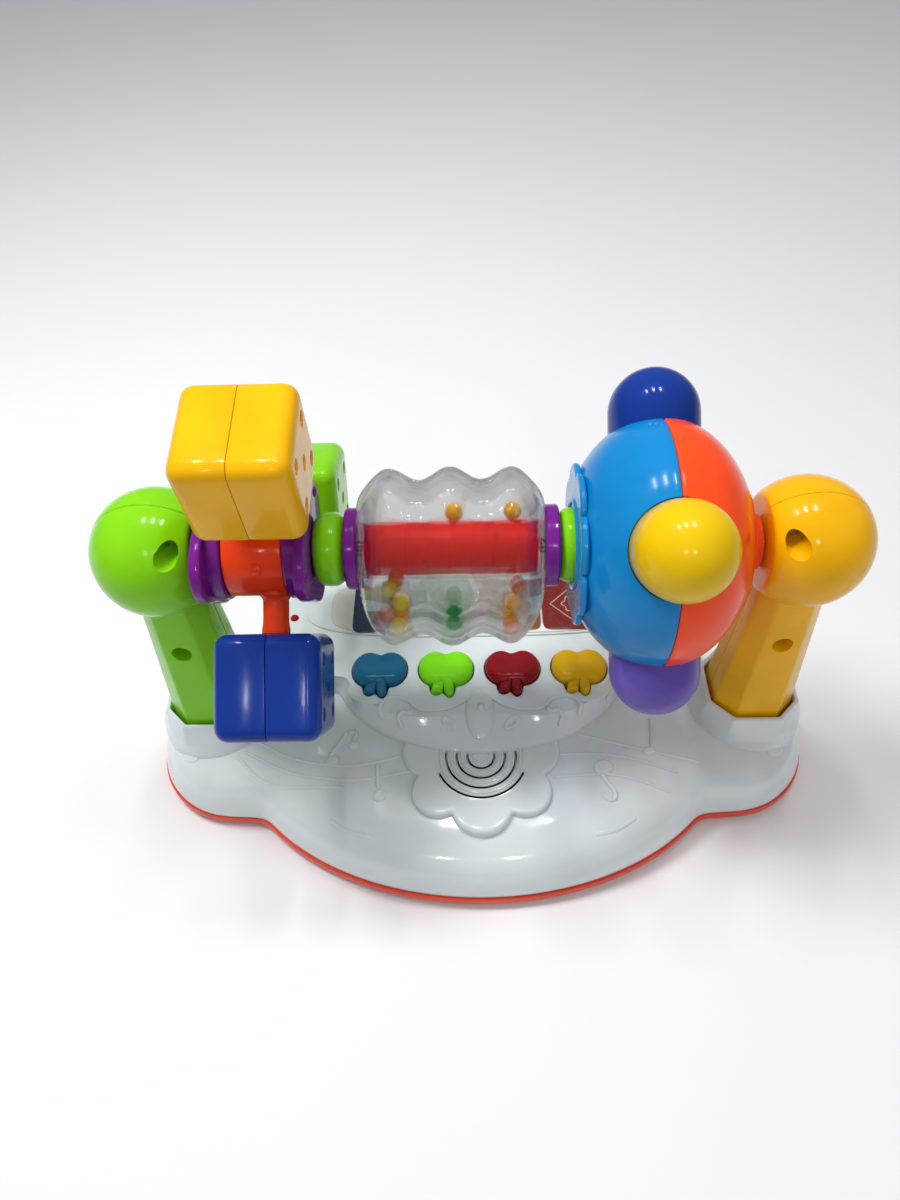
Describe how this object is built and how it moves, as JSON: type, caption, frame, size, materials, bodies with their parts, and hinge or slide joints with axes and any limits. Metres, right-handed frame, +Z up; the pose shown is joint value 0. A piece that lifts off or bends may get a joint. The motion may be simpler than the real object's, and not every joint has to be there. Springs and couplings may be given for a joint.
{
  "type": "baby activity console",
  "caption": "Musical activity console for a baby: a cloud-shaped sound base with posts that hold a bar of spinning dice, a clear bead tumbler and a knobbed ball.",
  "frame": {"origin": "on the plane that the feet stand on, below the middle of the axle", "axes": "+X along the axle from the dice spinner to the big ball, +Y towards the child who plays with it, +Z up"},
  "size_m": [0.3486, 0.194, 0.2411],
  "materials": {
    "white_plastic": "glossy",
    "orange_red_plastic": "glossy",
    "lime_plastic": "glossy",
    "yellow_plastic": "glossy",
    "navy_plastic": "glossy",
    "orange_plastic": "glossy",
    "purple_plastic": "glossy",
    "red_plastic": "glossy",
    "ball_blue": "glossy",
    "ball_orange": "glossy",
    "knob_yellow": "glossy",
    "knob_lavender": "glossy",
    "button_teal": "glossy",
    "button_lime": "glossy",
    "button_red": "glossy",
    "button_yellow": "glossy",
    "amber_bead": "glossy",
    "green_bead": "glossy",
    "clear_plastic": "clear, glossy",
    "red_lens": "glossy",
    "printed_label": "printed film",
    "foot_rubber": "matte",
    "switch_rubber": "matte",
    "switch_plastic": "matte",
    "circuit_board": "satin",
    "speaker_black": "matte",
    "battery_jacket": "satin",
    "steel": "plated"
  },
  "bodies": {
    "base": {"base_upper_shell": "white_plastic", "base_lower_plate": "orange_red_plastic", "battery_door": "orange_red_plastic", "battery_door_screw": "steel", "foot_child_left": "foot_rubber", "foot_child_right": "foot_rubber", "foot_speaker_left": "foot_rubber", "foot_speaker_right": "foot_rubber", "battery_1": "battery_jacket", "battery_2": "battery_jacket", "battery_3": "battery_jacket", "battery_contact_left": "steel", "battery_contact_right": "steel", "control_board": "circuit_board", "switch_dome_teal": "switch_rubber", "switch_dome_lime": "switch_rubber", "switch_dome_red": "switch_rubber", "switch_dome_yellow": "switch_rubber", "speaker_driver": "speaker_black", "indicator_led": "red_lens", "picture_label": "printed_label", "lime_post_front": "lime_plastic", "lime_post_rear": "lime_plastic", "yellow_post_front": "yellow_plastic", "yellow_post_rear": "yellow_plastic", "lime_post_screw_upper": "steel", "lime_post_screw_lower": "steel", "yellow_post_screw_upper": "steel", "yellow_post_screw_lower": "steel", "axle_rod": "steel"},
    "spinner": {"spinner_hub": "orange_plastic", "spinner_flange_left": "purple_plastic", "spinner_flange_right": "purple_plastic", "yellow_die_left": "yellow_plastic", "yellow_die_right": "yellow_plastic", "green_die_left": "lime_plastic", "green_die_right": "lime_plastic", "blue_die_left": "navy_plastic", "blue_die_right": "navy_plastic"},
    "left_ring": {"lime_ring_left": "lime_plastic"},
    "tumbler": {"tumbler_cap_left": "purple_plastic", "tumbler_cap_right": "purple_plastic", "tumbler_shell_child_side": "clear_plastic", "tumbler_shell_speaker_side": "clear_plastic", "tumbler_tube": "red_plastic", "tumbler_beads_left": "amber_bead", "tumbler_beads_middle": "green_bead", "tumbler_beads_right": "amber_bead"},
    "right_ring": {"lime_ring_right": "lime_plastic"},
    "ball": {"ball_shell_blue": "ball_blue", "ball_shell_orange": "ball_orange", "ball_knob_navy": "navy_plastic", "ball_knob_yellow": "knob_yellow", "ball_knob_lavender": "knob_lavender", "ball_knob_lime": "lime_plastic"},
    "teal_button": {"button_teal": "button_teal"},
    "lime_button": {"button_lime": "button_lime"},
    "red_button": {"button_red": "button_red"},
    "yellow_button": {"button_yellow": "button_yellow"},
    "power_switch": {"power_switch_slider": "switch_plastic"}
  },
  "joints": [
    {"name": "spinner_spin", "type": "hinge", "parent": "base", "child": "spinner", "pos_m": [-0.0949, 0, 0.158], "axis": [1, 0, 0], "continuous": true},
    {"name": "left_ring_spin", "type": "hinge", "parent": "base", "child": "left_ring", "pos_m": [-0.0642, 0, 0.158], "axis": [1, 0, 0], "continuous": true},
    {"name": "tumbler_spin", "type": "hinge", "parent": "base", "child": "tumbler", "pos_m": [-0.012, 0, 0.158], "axis": [1, 0, 0], "continuous": true},
    {"name": "right_ring_spin", "type": "hinge", "parent": "base", "child": "right_ring", "pos_m": [0.03915, 0, 0.158], "axis": [1, 0, 0], "continuous": true},
    {"name": "ball_spin", "type": "hinge", "parent": "base", "child": "ball", "pos_m": [0.075, 0, 0.158], "axis": [1, 0, 0], "continuous": true},
    {"name": "teal_button_press", "type": "slide", "parent": "base", "child": "teal_button", "axis": [0, 0, -1], "range_m": [0, 0.002], "stiffness_N_per_m": 400, "deforming": ["switch_dome_teal"]},
    {"name": "lime_button_press", "type": "slide", "parent": "base", "child": "lime_button", "axis": [0, 0, -1], "range_m": [0, 0.002], "stiffness_N_per_m": 400, "deforming": ["switch_dome_lime"]},
    {"name": "red_button_press", "type": "slide", "parent": "base", "child": "red_button", "axis": [0, 0, -1], "range_m": [0, 0.002], "stiffness_N_per_m": 400, "deforming": ["switch_dome_red"]},
    {"name": "yellow_button_press", "type": "slide", "parent": "base", "child": "yellow_button", "axis": [0, 0, -1], "range_m": [0, 0.002], "stiffness_N_per_m": 400, "deforming": ["switch_dome_yellow"]},
    {"name": "power_switch_slide", "type": "slide", "parent": "base", "child": "power_switch", "axis": [1, 0, 0], "range_m": [0, 0.006]}
  ]
}
